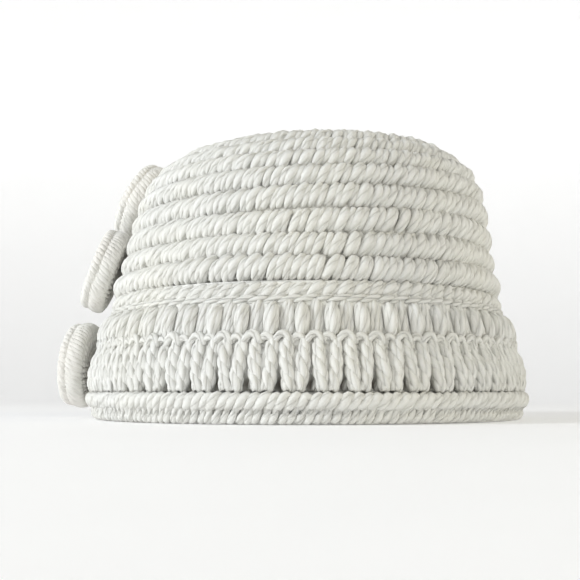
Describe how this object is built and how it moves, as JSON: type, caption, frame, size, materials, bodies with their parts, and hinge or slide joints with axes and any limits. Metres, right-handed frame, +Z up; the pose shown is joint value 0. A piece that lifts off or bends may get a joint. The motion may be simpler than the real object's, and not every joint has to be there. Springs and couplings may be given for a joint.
{
  "type": "hat",
  "caption": "Close-fitting crocheted hat with a ribbed crown, a band of puff stitches, a rolled edge and covered buttons up one side; worn tilted on the head.",
  "frame": {"origin": "on the floor under the middle of the whole hat's bounding box, buttons included", "axes": "+Z up from the rolled edge to the top, -Y the front of the hat, -X the side with the buttons"},
  "size_m": [0.1734, 0.1902, 0.1013],
  "materials": {
    "crown_yarn": "cream cotton yarn, matt",
    "band_yarn": "cream cotton yarn, matt",
    "edge_yarn": "cream cotton yarn, matt",
    "button_yarn": "fine cream cotton yarn, matt"
  },
  "bodies": {
    "root": {"crown": "crown_yarn", "puff_band": "band_yarn", "rolled_edge": "edge_yarn", "button_lower": "button_yarn", "button_middle": "button_yarn", "button_upper": "button_yarn"}
  },
  "joints": []
}
